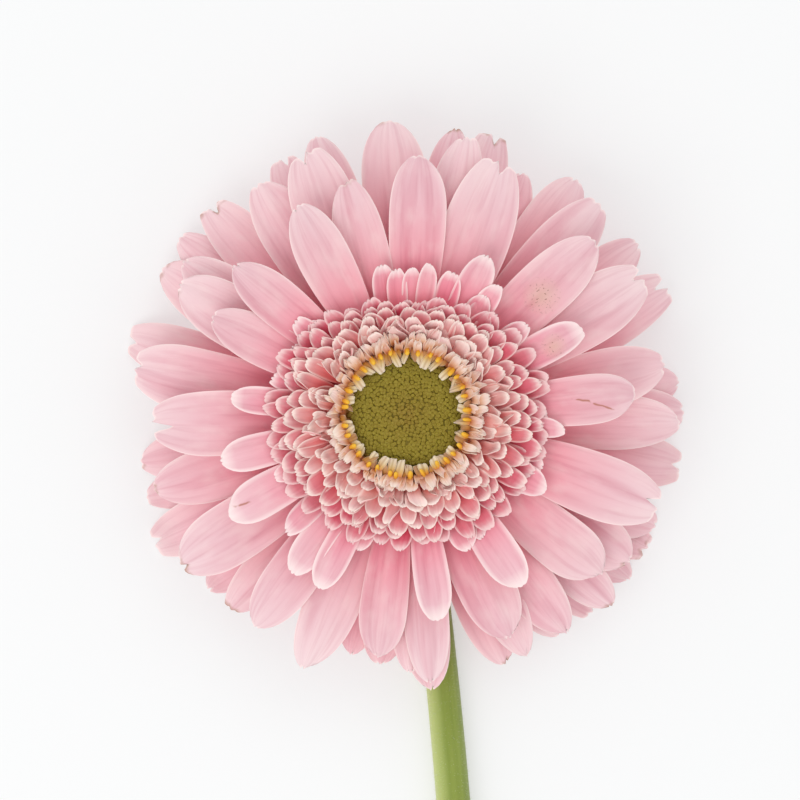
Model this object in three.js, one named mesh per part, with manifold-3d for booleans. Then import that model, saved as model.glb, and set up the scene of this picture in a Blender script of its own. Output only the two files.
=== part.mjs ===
// A cut gerbera lying on its back: the stem runs along the surface toward -Y and the face looks up.
// Lengths are in millimetres and +Z is up. Heights and radii in the head are measured from the middle
// of the involucre's rim, along the head's own axis. Bearings are in degrees, clockwise seen from
// above, and 0 is the side of the head away from the stem.

import * as THREE from 'three';
import { mergeVertices } from 'three/addons/utils/BufferGeometryUtils.js';
import Module from 'manifold-3d';

const wasm = await Module();
wasm.setup();

// The head leans a little toward the stem and stands on its neck.
const headLean = THREE.MathUtils.degToRad(5.5);
const rimHeight = 20.5;

// Neighbouring pieces stay this far apart.
const gap = 0.3;

// Petals, measured straight down through them.
const petalThickness = 0.75;

// The solid middle of the head, which the florets grow from.
const discRadius = 10.7;
const collarInner = discRadius + 0.5;
const rayCollar = { outer: 14.2, bottom: gap, top: 5.2 };
const transCollar = { outer: 15, bottom: rayCollar.top + gap, top: 9.6 };
const floretCollar = { outer: 14, bottom: transCollar.top + gap, top: 11.4 };
const discRimHeight = 9.8;
const discCrownHeight = 11;

// The involucre's cup and the stem.
const cupDepth = 9;
const cupRadius = 13.3;
const neckBend = 7;
const neckRadius = 2.75;
const upperStemRadius = 3.3;
const cutEndRadius = 3.8;
const stemEnd = -345;
const stemSway = 20.4;
const swayLength = 150;
const cutSlant = 0.45;

// Ray florets as [bearing, reach, width, depth of the notch at the tip], lowest layer first.
const backRays = [
  [356.6, 57.5, 13, 0], [9, 56.3, 9, 0], [17.5, 57, 11, 2.5], [26, 52, 11, 0], [37, 56.3, 11, 0],
  [55, 55.5, 10, 0], [65.5, 56.2, 12.5, 4.2], [85, 54, 11, 0], [92, 54.7, 12, 0], [103, 55.8, 11.5, 3.5],
  [116, 54.5, 11, 0], [121.5, 56, 10, 1.5], [129, 56, 10, 0], [138.5, 55.5, 10, 1.5], [147.5, 54.5, 10, 0],
  [160, 54, 10.5, 0], [176, 55.3, 9.5, 0], [186.5, 50.8, 9, 0], [194, 50, 9, 0], [227.5, 54.5, 10, 1],
  [241.5, 58, 11, 3], [251, 56, 9, 0], [258.5, 55, 12, 0], [283.5, 57.5, 11, 3], [298.5, 56.2, 12, 0],
  [306, 56.5, 11, 0], [315.5, 56.3, 11, 3.7], [332, 55.8, 10, 2.5], [341, 57, 10, 0],
];
const middleRays = [
  [11, 55.6, 10, 0], [42, 55.5, 12, 0], [80, 51, 12, 0], [92.5, 53.5, 11, 0], [125, 53, 12, 0],
  [134, 55.8, 9, 0], [145.5, 54, 11, 0], [152.5, 53.8, 11, 0], [180.3, 51.2, 7.5, 0], [222, 53.5, 10, 0],
  [253.5, 53, 11, 0], [278.5, 55.4, 13, 2], [303, 54, 11, 0], [327, 54, 12, 0], [337.5, 55.6, 13, 2.4],
];
const upperRays = [
  [2.5, 51.3, 11.3, 0], [20, 53, 14, 2.8], [46.3, 50, 11.5, 0], [60, 53.4, 13, 2.7], [110.5, 52.3, 13, 3],
  [130.5, 49.5, 11.5, 0], [156.5, 48.2, 11.5, 0], [175, 53.3, 9, 0], [188, 48.3, 9.5, 0],
  [202, 54.8, 11, 0], [216, 52, 10.5, 0], [236.5, 54.5, 12.5, 1], [267.5, 51, 13, 5],
  [299, 52.3, 12, 0.8], [344.5, 48, 10, 1],
];
const topRays = [
  [85.5, 44.5, 10, 0], [296.5, 43.2, 9.5, 0], [311.5, 45.2, 9.5, 0], [331.5, 46.8, 10.5, 0],
];

// Short inner rays as [bearing, reach, width], which grow with the trans florets.
const innerRays = [
  [1.6, 29, 3.8], [7.6, 30, 3.8], [18.4, 29.4, 5], [26, 35, 6.5], [35, 31, 4.5], [53, 29.4, 4.8],
  [64, 38, 7], [95, 30.8, 4], [111.7, 28.4, 5], [118.9, 30.8, 6], [147, 40.5, 8], [154.8, 29.3, 6],
  [172, 41, 7], [200.7, 28.6, 4.5], [207.5, 38.5, 6.5], [216.5, 38.8, 6.5], [226.5, 33.5, 4.8],
  [240.5, 40.5, 8.5], [256.5, 38, 7], [275.5, 35, 5.6], [285.2, 27.9, 4], [309.4, 29, 4.5],
  [349, 30, 4.8], [354.8, 28.8, 4],
];

// How each layer of rays stands: its height at the root, where it leaves the head and far out.
const rayShapes = {
  back: { root: 1.3, shoulder: -4, far: -21.5, spread: 1 },
  middle: { root: 2.4, shoulder: 0.4, far: -9, spread: 1 },
  upper: { root: 3.6, shoulder: 3.4, far: -1, spread: 0.9 },
  top: { root: 4.3, shoulder: 4.5, far: 4.2, spread: 0.3 },
};
const rayRoot = 12.8;
const shoulderRadius = 28;
const farRadius = 57;

// Rows of trans florets, inner row last, and what each one is like.
const transRows = [
  { count: 25, reach: 28.3, width: 5.5, root: 7.3, tip: 7.6 },
  { count: 23, reach: 24.6, width: 5.1, root: 8.2, tip: 9.2 },
  { count: 21, reach: 20.6, width: 4.6, root: 9, tip: 10.6 },
];
const innerRayShape = { root: 6.3, tip: 6.4 };
const transRoot = 13.6;

// Disc florets and buds, and the involucre's bracts.
const discFloretCount = 28;
const budCount = 44;
const bractRows = [
  { count: 11, from: 0.2, to: 0.66, width: 4.2 },
  { count: 14, from: 0.5, to: 0.93, width: 4.6 },
];
const bractWidths = [[0, 0.8], [0.55, 1], [1, 0.16]];
const bractSink = 1;

const head = new THREE.Group();
head.position.set(0, 0, rimHeight);
head.rotation.x = headLean;
head.updateMatrix();
const headToGround = head.matrix;
const groundToHead = headToGround.clone().invert();

// Numbers from 0 to 1 that are the same each time.
function seededDraw(seed) {
  let state = seed;
  return () => {
    state = (state * 1664525 + 1013904223) % 4294967296;
    return state / 4294967296;
  };
}

function solidFromGeometry(geometry) {
  const bare = geometry.clone();
  bare.deleteAttribute('normal');
  bare.deleteAttribute('uv');
  const merged = mergeVertices(bare, 1e-4);
  return new wasm.Manifold(new wasm.Mesh({
    numProp: 3,
    vertProperties: new Float32Array(merged.attributes.position.array),
    triVerts: new Uint32Array(merged.index.array),
  }));
}

function solidFromTriangles(positions, triangles) {
  return new wasm.Manifold(new wasm.Mesh({
    numProp: 3,
    vertProperties: new Float32Array(positions),
    triVerts: new Uint32Array(triangles),
  }));
}

function geometryFromSolid(solid) {
  const mesh = solid.getMesh();
  const geometry = new THREE.BufferGeometry();
  geometry.setAttribute('position', new THREE.BufferAttribute(mesh.vertProperties.slice(), 3));
  geometry.setIndex(new THREE.BufferAttribute(mesh.triVerts.slice(), 1));
  geometry.computeVertexNormals();
  return geometry;
}

function joinSolids(solids) {
  let joined = solids;
  while (joined.length > 1) {
    const pairs = [];
    for (let i = 0; i < joined.length; i += 2) {
      const partner = joined[i + 1];
      pairs.push(partner ? joined[i].add(partner) : joined[i]);
    }
    joined = pairs;
  }
  return joined[0];
}

// A solid turned round the head's axis from [radius, height] points, which start and end on the
// axis or close on themselves.
function turned(profile, sides) {
  const points = profile.map(([radius, height]) => new THREE.Vector2(radius, height));
  const geometry = new THREE.LatheGeometry(points, sides);
  geometry.rotateX(Math.PI / 2);
  return solidFromGeometry(geometry);
}

function collar({ outer, bottom, top }, sides) {
  const profile = [
    [collarInner, bottom], [outer, bottom], [outer, top], [collarInner, top], [collarInner, bottom],
  ];
  return turned(profile, sides);
}

// A closed leaf-like strip along one bearing. Each station is a row of points across the strip:
// radius and height of its middle, half its width, how far its edges lie back and up from its
// middle, its roll, and the thickness as a step [outward, up] from the first face to the second.
function strip(bearing, stations, across, onGround = false) {
  const angle = THREE.MathUtils.degToRad(bearing);
  const outward = new THREE.Vector3(Math.sin(angle), Math.cos(angle), 0);
  const sideways = new THREE.Vector3(Math.cos(angle), -Math.sin(angle), 0);
  const positions = [];
  const place = (radius, side, height, lowest) => {
    const point = outward.clone().multiplyScalar(radius).addScaledVector(sideways, side);
    point.z = height;
    if (onGround) {
      point.applyMatrix4(headToGround);
      point.z = Math.max(point.z, lowest);
      point.applyMatrix4(groundToHead);
    }
    positions.push(point.x, point.y, point.z);
  };
  for (const station of stations) {
    const { radius, height, half, edgeBack = 0, edgeUp = 0, roll = 0, thickness } = station;
    for (let j = 0; j < across; j += 1) {
      const share = (2 * j) / (across - 1) - 1;
      const side = share * half;
      const r = radius - Math.abs(share) * edgeBack;
      const z = height + Math.abs(share) * edgeUp + side * roll;
      place(r, side, z, petalThickness);
      place(r + thickness[0], side, z + thickness[1], 0);
    }
  }
  const first = (i, j) => 2 * (i * across + j);
  const second = (i, j) => first(i, j) + 1;
  const triangles = [];
  const quad = (a, b, c, d) => triangles.push(a, b, c, a, c, d);
  const last = stations.length - 1;
  for (let i = 0; i < last; i += 1) {
    for (let j = 0; j < across - 1; j += 1) {
      quad(first(i, j), first(i, j + 1), first(i + 1, j + 1), first(i + 1, j));
      triangles.push(second(i, j), second(i + 1, j + 1), second(i, j + 1));
      triangles.push(second(i, j), second(i + 1, j), second(i + 1, j + 1));
    }
    quad(first(i, 0), first(i + 1, 0), second(i + 1, 0), second(i, 0));
    quad(first(i, across - 1), second(i, across - 1), second(i + 1, across - 1), first(i + 1, across - 1));
  }
  for (let j = 0; j < across - 1; j += 1) {
    quad(first(0, j), second(0, j), second(0, j + 1), first(0, j + 1));
    quad(first(last, j), first(last, j + 1), second(last, j + 1), second(last, j));
  }
  return solidFromTriangles(positions, triangles);
}

// Share of a petal's full width at a share of its length: narrow at the root, widest at seven
// tenths, round at the tip.
function widthShare(along, rootShare) {
  const growth = Math.sin((Math.min(along / 0.7, 1) * Math.PI) / 2);
  const tip = Math.max(along - 0.7, 0) / 0.3;
  return (rootShare + (1 - rootShare) * growth) * Math.sqrt(1 - 0.9 * tip ** 2.4);
}

// Least signed angle from one bearing to another, in degrees.
function turnBetween(from, to) {
  return ((((to - from) % 360) + 540) % 360) - 180;
}

// The petals at the two sides droop to the surface. Those over the stem and those at the far side
// stay higher.
function droopShare(bearing) {
  const overStem = Math.exp(-((turnBetween(174, bearing) / 28) ** 2));
  const farSide = Math.exp(-((turnBetween(0, bearing) / 50) ** 2));
  return 1 - 0.75 * overStem - 0.35 * farSide;
}

// Height of a layer of rays at a radius: a curve through its root, shoulder and far heights.
function rayHeight(shape, bearing, radius) {
  const droop = droopShare(bearing);
  const shoulder = (shape.shoulder - shape.root) * (shape.shoulder < shape.root ? droop : 1);
  const far = (shape.far - shape.root) * (shape.far < shape.root ? droop : 1);
  const reachShare = (radius - rayRoot) / (farRadius - rayRoot);
  const bend = (shoulderRadius - rayRoot) / (farRadius - rayRoot);
  const curve = (far * bend - shoulder) / (bend - bend * bend);
  return shape.root + (far - curve) * reachShare + curve * reachShare * reachShare;
}

function rayFloret([bearing, reach, width, notch], shape, order, draw) {
  const sideStep = (order % 2 === 0 ? 1 : -1) * 0.45 * shape.spread;
  const roll = (draw() - 0.5) * 0.12;
  const gutter = width * (0.03 + 0.04 * draw());
  const stations = [0, 0.24, 0.47, 0.71, 0.9, 1].map((along) => {
    const atTip = along === 1;
    const radius = rayRoot + (reach - rayRoot) * along;
    const half = (width / 2) * widthShare(along, 0.26) * (atTip && notch > 0 ? 1.5 : 1);
    return {
      radius: atTip ? reach - notch : radius,
      height: rayHeight(shape, bearing, radius) + sideStep * (0.5 + 1.5 * along),
      half,
      edgeBack: atTip ? 0.12 * width - notch : 0,
      edgeUp: gutter * Math.sin(Math.PI * along ** 1.3),
      roll: roll * along,
      thickness: [0, -petalThickness],
    };
  });
  return strip(bearing, stations, 3, true);
}

function rayFlorets() {
  const draw = seededDraw(11);
  const solids = [collar(rayCollar, 22)];
  const layers = [
    [backRays, rayShapes.back], [middleRays, rayShapes.middle],
    [upperRays, rayShapes.upper], [topRays, rayShapes.top],
  ];
  for (const [rays, shape] of layers) {
    rays.forEach((ray, order) => solids.push(rayFloret(ray, shape, order, draw)));
  }
  return joinSolids(solids);
}

function shortFloret({ bearing, reach, width, root, tip, roll, segments }) {
  const stations = [];
  for (let i = 0; i <= segments; i += 1) {
    const along = i / segments;
    const rise = (tip - root) * along + 0.9 * Math.sin(Math.PI * along);
    stations.push({
      radius: transRoot + (reach - transRoot) * along,
      height: root + rise,
      half: (width / 2) * widthShare(along ** 1.15, 0.4) * (i === segments ? 1.6 : 1),
      roll: roll * along,
      thickness: [0, -petalThickness],
    });
  }
  return strip(bearing, stations, 2);
}

function transFlorets() {
  const draw = seededDraw(23);
  const solids = [collar(transCollar, 22)];
  for (const [row, { count, reach, width, root, tip }] of transRows.entries()) {
    for (let i = 0; i < count; i += 1) {
      solids.push(shortFloret({
        bearing: ((i + 0.5 * (row % 2) + 0.35 * (draw() - 0.5)) * 360) / count,
        reach: reach + 1.2 * (draw() - 0.5),
        width: width * (0.92 + 0.16 * draw()),
        root,
        tip: tip + 0.3 * (draw() - 0.5),
        roll: 0.1 * (draw() - 0.5),
        segments: 3,
      }));
    }
  }
  for (const [order, [bearing, reach, width]] of innerRays.entries()) {
    const { root, tip } = innerRayShape;
    const roll = (order % 2 === 0 ? 1 : -1) * 0.07;
    solids.push(shortFloret({ bearing, reach, width, root, tip, roll, segments: 3 }));
  }
  return joinSolids(solids);
}

// One open disc floret: a broad outer lip that curls out and down, and a narrow inner lip that hangs
// in over the disc from beside the anther column.
function discFloret(bearing, outerReach, innerReach) {
  const outerLip = [
    { radius: 13.2, height: 11.2, half: 0.8, thickness: [0, -0.9] },
    { radius: 14.6, height: 12.8, half: 1.2, thickness: [0.2, -0.8] },
    { radius: outerReach, height: 11.8, half: 0.9, thickness: [-0.3, -0.7] },
  ];
  const innerLip = [
    { radius: 11.9, height: 11, half: 0.65, thickness: [1.1, 0] },
    { radius: 11.8, height: 12.3, half: 0.7, thickness: [0.8, 0.7] },
    { radius: innerReach, height: 11.9, half: 0.85, thickness: [0.1, 0.75] },
  ];
  return [strip(bearing, outerLip, 2), strip(bearing, innerLip, 2)];
}

function discFlorets() {
  const draw = seededDraw(37);
  const solids = [collar(floretCollar, 22)];
  for (let i = 0; i < discFloretCount; i += 1) {
    const bearing = ((i + 0.3 * (draw() - 0.5)) * 360) / discFloretCount;
    solids.push(...discFloret(bearing, 16.4 + 0.9 * draw(), 10.4 - 0.7 * draw()));
  }
  return joinSolids(solids);
}

function discHeight(radius) {
  return discCrownHeight - (discCrownHeight - discRimHeight) * (radius / discRadius) ** 2;
}

// One unopened floret of the disc: a blunt five-sided bud standing on the crown.
function bud(x, y, radius, bottom, top, turn) {
  const geometry = new THREE.CylinderGeometry(radius * 0.55, radius, top - bottom, 5);
  geometry.rotateX(Math.PI / 2);
  geometry.rotateZ(turn);
  geometry.translate(x, y, (bottom + top) / 2);
  return solidFromGeometry(geometry);
}

function discBuds() {
  const rings = [0.35, 0.7, 1].map((share) => [discRadius * share, discHeight(discRadius * share)]);
  const crown = [[0, discCrownHeight], ...rings].reverse();
  const profile = [[0, gap], [discRadius, gap], ...crown];
  const solids = [turned(profile, 16)];
  const goldenAngle = Math.PI * (3 - Math.sqrt(5));
  for (let i = 0; i < budCount; i += 1) {
    const share = Math.sqrt((i + 0.5) / budCount);
    const size = 0.75 + 0.42 * share;
    const r = (discRadius - 1.25) * share;
    const [x, y] = [r * Math.cos(i * goldenAngle), r * Math.sin(i * goldenAngle)];
    const surface = discHeight(r);
    solids.push(bud(x, y, size, surface - 0.8, surface + 0.9, i * goldenAngle));
  }
  return joinSolids(solids);
}

// The cup's outside as [radius, height] at a share of the way from the neck to the rim.
function cupOutline(share) {
  const angle = (share * Math.PI) / 2;
  const footRadius = 3.6;
  return [
    footRadius + (cupRadius - footRadius) * Math.sin(angle),
    -cupDepth * Math.cos(angle) ** 1.15,
  ];
}

function involucre() {
  const sideSteps = 4;
  const outline = [];
  for (let i = 0; i <= sideSteps; i += 1) outline.push(cupOutline(i / sideSteps));
  const profile = [[0, -cupDepth], ...outline, [0, 0]];
  const solids = [turned(profile, 22)];
  for (const [row, { count, from, to, width }] of bractRows.entries()) {
    const stations = bractWidths.map(([along, share]) => {
      const [radius, height] = cupOutline(from + (to - from) * along);
      const lift = 0.15 + 0.5 * along;
      return {
        radius: radius - bractSink,
        height: height + bractSink / 2,
        half: (width * share) / 2,
        thickness: [bractSink + 0.3 + lift, -bractSink * 0.6 - 0.4 * lift],
      };
    });
    for (let i = 0; i < count; i += 1) {
      solids.push(strip(((i + 0.5 * row) * 360) / count, stations, 2));
    }
  }
  return joinSolids(solids);
}

function stemRadius(distance) {
  const taper = 1 - Math.exp(-distance / 45);
  const atUpper = neckRadius + (upperStemRadius - neckRadius) * taper;
  return atUpper + (cutEndRadius - upperStemRadius) * Math.min(distance / -stemEnd, 1);
}

// The stem: straight stretch first, from the slanted cut end to the neck, then the bend up into
// the foot of the cup. A flat facet of its ten-sided section lies on the surface.
function stem() {
  const sides = 10;
  const flatShare = Math.cos(Math.PI / sides);
  const cupFoot = new THREE.Vector3(0, 0, -cupDepth - gap).applyMatrix4(headToGround);
  const bendTurn = Math.PI / 2 + headLean;
  const startHeading = stemSway / swayLength;
  const heading0 = new THREE.Vector3(-startHeading, 1, 0).normalize();
  const bendStart = cupFoot.clone().addScaledVector(heading0, -neckBend * Math.sin(bendTurn));
  const rows = [];
  const straightSteps = 17;
  for (let i = 0; i < straightSteps; i += 1) {
    const share = 1 - i / straightSteps;
    const distance = share * (bendStart.y - stemEnd);
    const sway = stemSway * (1 - Math.exp(-distance / swayLength));
    const slope = startHeading * Math.exp(-distance / swayLength);
    const heading = new THREE.Vector3(-slope, 1, 0).normalize();
    const radius = stemRadius(distance);
    const centre = new THREE.Vector3(bendStart.x + sway, bendStart.y - distance, radius * flatShare);
    rows.push({ centre, heading, up: new THREE.Vector3(0, 0, 1), radius, slant: i === 0 ? cutSlant : 0 });
  }
  const floorHeight = neckRadius * flatShare;
  const bendRise = (cupFoot.z - floorHeight) / (1 - Math.cos(bendTurn));
  const bendSteps = 7;
  for (let i = 0; i <= bendSteps; i += 1) {
    const turn = (bendTurn * i) / bendSteps;
    const centre = bendStart.clone().addScaledVector(heading0, neckBend * Math.sin(turn));
    centre.z = floorHeight + bendRise * (1 - Math.cos(turn));
    const heading = heading0.clone().multiplyScalar(Math.cos(turn)).setZ(Math.sin(turn));
    const up = heading0.clone().multiplyScalar(-Math.sin(turn)).setZ(Math.cos(turn));
    rows.push({ centre, heading, up, radius: neckRadius, slant: 0 });
  }
  const positions = [];
  for (const { centre, heading, up, radius, slant } of rows) {
    const side = new THREE.Vector3().crossVectors(heading, up);
    for (let j = 0; j < sides; j += 1) {
      const angle = (2 * Math.PI * (j + 0.5)) / sides - Math.PI / 2;
      const point = centre.clone();
      point.addScaledVector(side, radius * Math.cos(angle));
      point.addScaledVector(up, radius * Math.sin(angle));
      point.addScaledVector(heading, slant * radius * Math.sin(angle));
      positions.push(point.x, point.y, point.z);
    }
  }
  const triangles = [];
  const at = (i, j) => i * sides + (j % sides);
  for (let i = 0; i < rows.length - 1; i += 1) {
    for (let j = 0; j < sides; j += 1) {
      triangles.push(at(i, j), at(i + 1, j + 1), at(i, j + 1));
      triangles.push(at(i, j), at(i + 1, j), at(i + 1, j + 1));
    }
  }
  for (let j = 1; j < sides - 1; j += 1) {
    triangles.push(at(0, 0), at(0, j), at(0, j + 1));
    triangles.push(at(rows.length - 1, 0), at(rows.length - 1, j + 1), at(rows.length - 1, j));
  }
  return solidFromTriangles(positions, triangles);
}

function makeMesh(name, solid, color, roughness) {
  const material = new THREE.MeshStandardMaterial({ color, roughness, metalness: 0 });
  const mesh = new THREE.Mesh(geometryFromSolid(solid), material);
  mesh.name = name;
  return mesh;
}

head.add(
  makeMesh('involucre', involucre(), 0x7d8f3e, 0.75),
  makeMesh('ray_florets', rayFlorets(), 0xeec3cc, 0.6),
  makeMesh('trans_florets', transFlorets(), 0xd9788c, 0.6),
  makeMesh('disc_florets', discFlorets(), 0xefdcb0, 0.6),
  makeMesh('disc_buds', discBuds(), 0xa39c43, 0.7),
);

const gerbera = new THREE.Group();
gerbera.add(head, makeMesh('stem', stem(), 0xa9b765, 0.65));

// The origin is on the surface, under the middle of the whole flower.
gerbera.updateMatrixWorld(true);
const bounds = new THREE.Box3().setFromObject(gerbera, true);
const middle = bounds.getCenter(new THREE.Vector3());
gerbera.position.set(-middle.x, -middle.y, -bounds.min.z);
gerbera.updateMatrixWorld(true);

export default gerbera;
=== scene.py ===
"""A cut gerbera lying face up, seen from straight above: petals, florets, disc, involucre and stem.

Lengths are written in millimetres. Heights and radii in the head are measured from the middle of the
involucre's rim, along the head's own axis. Bearings are in degrees, clockwise seen from above, and 0
is the side of the head away from the stem.
"""
import math

import bmesh
import bpy
import numpy as np
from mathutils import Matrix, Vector


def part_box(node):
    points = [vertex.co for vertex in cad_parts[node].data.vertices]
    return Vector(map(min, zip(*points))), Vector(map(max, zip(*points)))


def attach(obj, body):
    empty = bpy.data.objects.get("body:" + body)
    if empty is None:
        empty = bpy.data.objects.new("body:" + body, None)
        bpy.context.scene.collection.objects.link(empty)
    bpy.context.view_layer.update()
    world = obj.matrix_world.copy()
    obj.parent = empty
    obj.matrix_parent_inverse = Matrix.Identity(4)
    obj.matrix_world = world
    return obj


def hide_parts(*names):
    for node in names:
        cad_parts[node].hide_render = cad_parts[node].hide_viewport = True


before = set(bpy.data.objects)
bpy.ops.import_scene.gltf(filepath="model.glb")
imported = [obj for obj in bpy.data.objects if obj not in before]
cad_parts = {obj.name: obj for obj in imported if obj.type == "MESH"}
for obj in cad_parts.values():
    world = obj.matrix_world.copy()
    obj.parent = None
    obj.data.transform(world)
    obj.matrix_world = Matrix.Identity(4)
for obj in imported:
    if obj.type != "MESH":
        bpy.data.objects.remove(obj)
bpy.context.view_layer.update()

MM = 0.001
GOLDEN_ANGLE = math.pi * (3 - math.sqrt(5))
SEEDS = {
    "rays": 11, "trans": 23, "inner rays": 29, "disc florets": 37, "buds": 41, "bracts": 53, "hairs": 61,
}

# Rows and columns of each kind of petal's mesh, and the share of its half width that its rim takes.
RAY_GRID = (29, 15, 0.045)
TRANS_GRID = (14, 10, 0.1)
INNER_RAY_GRID = (18, 10, 0.06)
LIP_GRID = (9, 7, 0.1)
BRACT_GRID = (12, 5, 0.12)

# The head leans a little toward the stem. Its disc's own box tells where the head's axis stands.
HEAD_LEAN = math.radians(5.5)
RIM_HEIGHT = 20.5
DISC_RADIUS = 10.7
DISC_RIM_HEIGHT = 9.8
DISC_CROWN_HEIGHT = 11.0
disc_low, disc_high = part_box("disc_buds")
HEAD_X = (disc_low.x + disc_high.x) / 2 / MM
HEAD_Y = (disc_low.y + disc_high.y) / 2 / MM + math.sin(HEAD_LEAN) * DISC_RIM_HEIGHT / 2

# Above the ray florets the crown leans back a little, as [east, north] for each millimetre of height.
CROWN_BASE = 3.0
CROWN_LEAN = (-0.085, 0.155)

# Ray florets as [bearing, reach, width, depth of the notch at the tip], lowest layer first.
BACK_RAYS = [
    (356.6, 57.5, 13, 0), (9, 56.3, 9, 0), (17.5, 57, 11, 2.5), (26, 52, 11, 0), (37, 56.3, 11, 0),
    (55, 55.5, 10, 0), (65.5, 56.2, 12.5, 4.2), (85, 54, 11, 0), (92, 54.7, 12, 0), (103, 55.8, 11.5, 3.5),
    (116, 54.5, 11, 0), (121.5, 56, 10, 1.5), (129, 56, 10, 0), (138.5, 55.5, 10, 1.5),
    (147.5, 54.5, 10, 0), (160, 54, 10.5, 0), (176, 55.3, 9.5, 0), (186.5, 50.8, 9, 0), (194, 50, 9, 0),
    (227.5, 54.5, 10, 1), (241.5, 58, 11, 3), (251, 56, 9, 0), (258.5, 55, 12, 0), (283.5, 57.5, 11, 3),
    (298.5, 56.2, 12, 0), (306, 56.5, 11, 0), (315.5, 56.3, 11, 3.7), (332, 55.8, 10, 2.5), (341, 57, 10, 0),
]
MIDDLE_RAYS = [
    (11, 55.6, 10, 0), (42, 55.5, 12, 0), (80, 51, 12, 0), (92.5, 53.5, 11, 0), (125, 53, 12, 0),
    (134, 55.8, 9, 0), (145.5, 54, 10.5, 0), (154.5, 53.8, 9.5, 0), (180.3, 51.2, 7.5, 0), (222, 53.5, 10, 0),
    (253.5, 53, 11, 0), (278.5, 55.4, 13, 2), (303, 54, 11, 0), (327, 54, 12, 0), (337.5, 55.6, 13, 2.4),
]
UPPER_RAYS = [
    (2.5, 51.3, 11.3, 0), (20, 53, 14, 2.8), (46.3, 50, 11.5, 0), (60, 53.4, 13, 2.7), (110.5, 52.3, 13, 3),
    (130.5, 49.5, 11.5, 0), (156.5, 48.2, 11.5, 0), (175, 53.3, 9, 0), (188, 48.3, 9.5, 0),
    (202, 54.8, 11, 0), (216, 52, 10.5, 0), (236.5, 54.5, 12.5, 1), (267.5, 51, 13, 5),
    (299, 52.3, 12, 0.8), (344.5, 48, 10, 1),
]
TOP_RAYS = [(85.5, 44.5, 10, 0), (296.5, 43.2, 9.5, 0), (311.5, 45.2, 9.5, 0), (331.5, 46.8, 10.5, 0)]
SPECKLED_RAY = 46.3
CREASED_RAY = 85.5

# How each layer of rays stands: its heights at the root, where it leaves the head and far out, how
# far neighbours step up and down past each other, the lowest height at which it lies, and how deep it
# is in the flower, which also sets how much painted shade its petals take.
RAY_LAYERS = [
    (BACK_RAYS, (1.3, -2.6, -21.5), 1.0, 0.3, 1.0),
    (MIDDLE_RAYS, (2.4, 1.2, -9.0), 1.0, 1.6, 0.6),
    (UPPER_RAYS, (3.6, 3.4, -1.0), 0.9, 2.6, 0.25),
    (TOP_RAYS, (5.0, 5.7, 5.4), 0.3, 4.0, 0.0),
]
RAY_ROOT = 12.8
SHOULDER_RADIUS = 28.0
FAR_RADIUS = 57.0
RAY_THICKNESS = 0.5
SHORT_THICKNESS = 0.36
STRAP_THICKNESS = 0.22
LIP_THICKNESS = 0.26
BRACT_THICKNESS = 0.6

# Short inner rays as [bearing, reach, width].
INNER_RAYS = [
    (1.6, 29, 3.8), (7.6, 30, 3.8), (18.4, 29.4, 5), (26, 35, 6.5), (33.5, 28, 5), (35, 31, 4.5),
    (53, 29.4, 4.8), (64, 38, 7), (90.4, 27.3, 4.5), (95, 30.8, 4), (111.7, 28.4, 5), (118.9, 30.8, 6),
    (147, 40.5, 8), (148.4, 28.4, 4), (154.8, 29.3, 6), (172, 41, 7), (200.7, 28.6, 4.5),
    (207.5, 38.5, 6.5), (216.5, 38.8, 6.5), (226.5, 33.5, 4.8), (240.5, 40.5, 8.5), (245, 29, 4),
    (256.5, 38, 7), (275.5, 35, 5.6), (285.2, 27.9, 4), (300.6, 26.5, 4), (309.4, 29, 4.5),
    (312.6, 26.6, 4), (349, 30, 4.8), (354.8, 28.8, 4),
]
SPECKLED_INNER_RAY = 64
CREASED_INNER_RAY = 240.5

# Rows of trans florets, outer row first: count, reach, width, heights of root and tip, half angle of
# the fold, and how unruly the row is.
TRANS_ROWS = [
    (40, 28.4, 4.9, 6.4, 7.2, 0.75, 0.5),
    (40, 26.6, 4.7, 7.0, 8.3, 0.85, 0.6),
    (39, 24.6, 4.5, 7.6, 9.4, 0.95, 0.7),
    (37, 22.5, 4.3, 8.2, 10.5, 1.0, 0.85),
    (35, 20.4, 4.0, 8.8, 10.8, 1.05, 1.2),
    (32, 18.3, 3.7, 9.3, 11.2, 1.05, 1.4),
]
TRANS_ROOT = 13.2
RING_INNER = 15.0
DISC_FLORETS = 33
BUDS = 860
BUD_REACH = 11.2
BUD_LENGTH = 1.6

# Bracts in rows on the cup: count, the shares of the cup from foot to rim that they span, and width.
BRACT_ROWS = [(13, 0.04, 0.5, 3.4), (18, 0.22, 0.76, 3.7), (23, 0.46, 1.04, 3.6)]
CUP_DEPTH = 9.0
CUP_RADIUS = 13.1
CUP_FOOT_RADIUS = 3.6
CUP_BOTTOM = -CUP_DEPTH - 0.3

# The stem bends where it leaves the cup, then lies on the surface in a gentle curve. Its middle stands
# above the surface by FLAT_SHARE of its radius, as on the flat of the ten-sided solid stem.
STEM_LENGTH = 340.5
STEM_SWAY = 20.4
SWAY_LENGTH = 150.0
NECK_BEND = 7.0
NECK_RADIUS = 2.75
FLAT_SHARE = math.cos(math.pi / 10)
STEM_SIDES = 36
LEAST_HEIGHT = 0.01
CUT_SLANT = 0.45
CUT_LENGTH = 12
HAIRS = 16000
HAIR_RADIUS = 0.022

# Rings of the stem's cut face from its rim in, as [share of the radius, how much pale flesh shows].
CUT_FACE = [(0.93, 0.4), (0.8, 0.85), (0.55, 1.0), (0.28, 1.0), (0.02, 1.0)]


def linear(red, green, blue):
    """A colour as seen on a screen, 0 to 255, as the renderer's linear colour."""
    shares = [c / 255 for c in (red, green, blue)]
    return [s / 12.92 if s <= 0.04045 else ((s + 0.055) / 1.055) ** 2.4 for s in shares] + [1.0]


def turn_between(start, end):
    """Least signed angle from one bearing to another."""
    return (end - start + 180) % 360 - 180


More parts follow.
